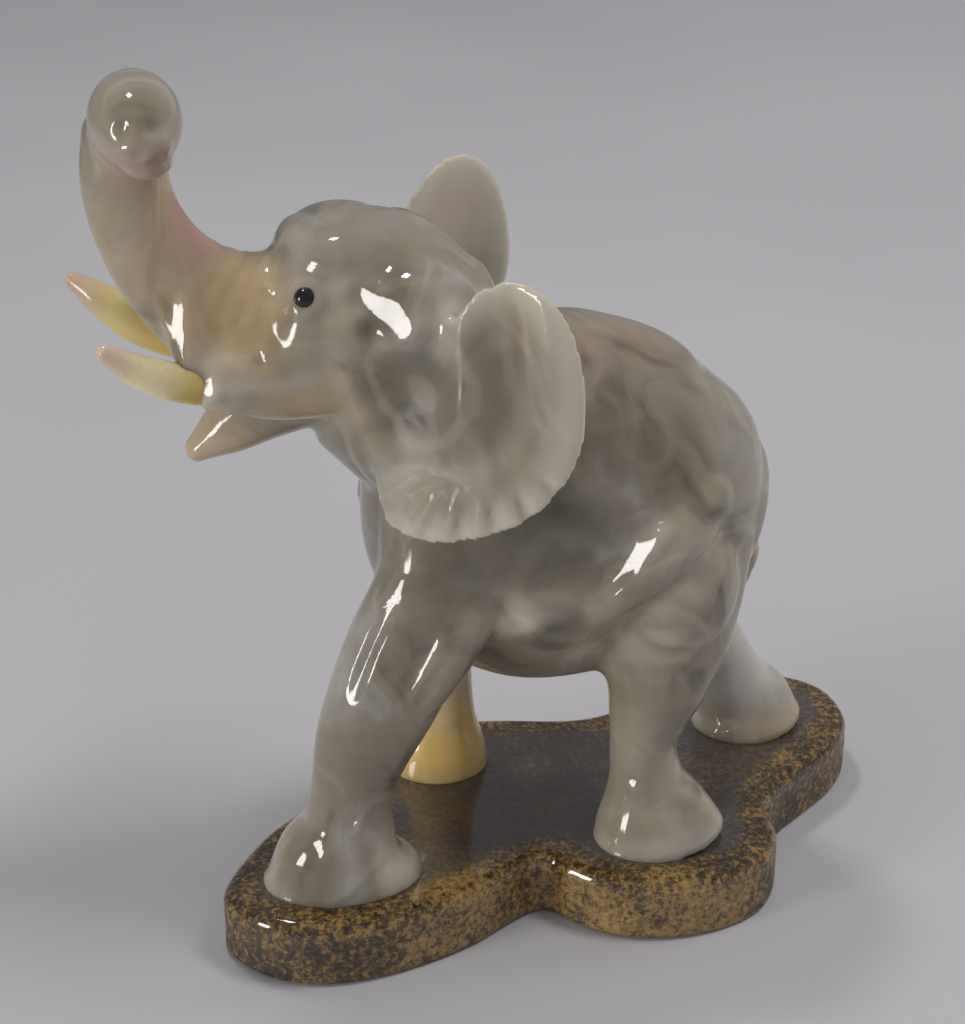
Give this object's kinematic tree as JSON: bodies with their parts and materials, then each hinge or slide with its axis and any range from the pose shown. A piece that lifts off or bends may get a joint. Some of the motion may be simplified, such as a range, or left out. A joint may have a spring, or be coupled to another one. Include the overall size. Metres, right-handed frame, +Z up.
{
  "type": "carved stone elephant figurine",
  "caption": "Standing elephant carved from banded translucent stone, trunk raised, with inlaid tusks and bead eyes, on a lobed granite slab.",
  "frame": {"origin": "middle of the whole figure's box, on the surface that the slab stands on", "axes": "+Z up; the elephant's head and raised trunk point to -X and its left side faces -Y"},
  "size_m": [0.2048, 0.11, 0.2146],
  "materials": {
    "agate": "polished translucent grey-green carved stone with pale swirled bands and honey patches",
    "honey_stone": "polished translucent yellow stone, paler and pinkish at the tips",
    "jet": "high gloss black bead",
    "granite": "polished dark top, fine brown, ochre and black speckle on the sides"
  },
  "bodies": {
    "root": {"elephant_body": "agate", "tusk_left": "honey_stone", "tusk_right": "honey_stone", "eye_left": "jet", "eye_right": "jet", "slab": "granite"}
  },
  "joints": []
}
